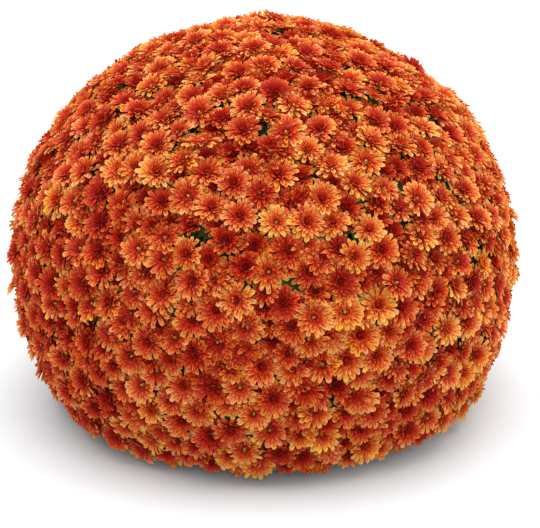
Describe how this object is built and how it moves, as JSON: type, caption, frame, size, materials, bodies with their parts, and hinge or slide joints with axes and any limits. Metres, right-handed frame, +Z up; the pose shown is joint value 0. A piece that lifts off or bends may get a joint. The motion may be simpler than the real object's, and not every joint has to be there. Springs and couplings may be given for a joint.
{
  "type": "chrysanthemum plant",
  "caption": "Domed garden chrysanthemum in full bloom, cut at its base: woody crown, branching stems, leaf tufts and close-set double flower heads in orange and deep red.",
  "frame": {"origin": "on the surface the plant stands on, under the middle of its dome and its crown", "axes": "+Z up along the crown's axis, from the cut base to the top of the dome; the side the camera sees faces -Y"},
  "size_m": [0.5194, 0.5198, 0.3997],
  "materials": {
    "petals": "soft matt petals, orange at the tips and deep red towards the middle",
    "leaves": "matt, slightly downy green leaves with paler veins",
    "stems": "green stems turning brown and ribbed towards the foot",
    "crown_wood": "rough brown bark, with a pale cut face"
  },
  "bodies": {
    "root": {"crown": "crown_wood", "top_spray_stem": "stems", "top_spray_leaves": "leaves", "top_spray_blooms": "petals", "upper_spray_1_stem": "stems", "upper_spray_1_leaves": "leaves", "upper_spray_1_blooms": "petals", "upper_spray_2_stem": "stems", "upper_spray_2_leaves": "leaves", "upper_spray_2_blooms": "petals", "upper_spray_3_stem": "stems", "upper_spray_3_leaves": "leaves", "upper_spray_3_blooms": "petals", "upper_spray_4_stem": "stems", "upper_spray_4_leaves": "leaves", "upper_spray_4_blooms": "petals", "upper_spray_5_stem": "stems", "upper_spray_5_leaves": "leaves", "upper_spray_5_blooms": "petals", "middle_spray_1_stem": "stems", "middle_spray_1_leaves": "leaves", "middle_spray_1_blooms": "petals", "middle_spray_2_stem": "stems", "middle_spray_2_leaves": "leaves", "middle_spray_2_blooms": "petals", "middle_spray_3_stem": "stems", "middle_spray_3_leaves": "leaves", "middle_spray_3_blooms": "petals", "middle_spray_4_stem": "stems", "middle_spray_4_leaves": "leaves", "middle_spray_4_blooms": "petals", "middle_spray_5_stem": "stems", "middle_spray_5_leaves": "leaves", "middle_spray_5_blooms": "petals", "middle_spray_6_stem": "stems", "middle_spray_6_leaves": "leaves", "middle_spray_6_blooms": "petals", "lower_spray_1_stem": "stems", "lower_spray_1_leaves": "leaves", "lower_spray_1_blooms": "petals", "lower_spray_2_stem": "stems", "lower_spray_2_leaves": "leaves", "lower_spray_2_blooms": "petals", "lower_spray_3_stem": "stems", "lower_spray_3_leaves": "leaves", "lower_spray_3_blooms": "petals", "lower_spray_4_stem": "stems", "lower_spray_4_leaves": "leaves", "lower_spray_4_blooms": "petals", "lower_spray_5_stem": "stems", "lower_spray_5_leaves": "leaves", "lower_spray_5_blooms": "petals", "lower_spray_6_stem": "stems", "lower_spray_6_leaves": "leaves", "lower_spray_6_blooms": "petals", "lower_spray_7_stem": "stems", "lower_spray_7_leaves": "leaves", "lower_spray_7_blooms": "petals"}
  },
  "joints": []
}
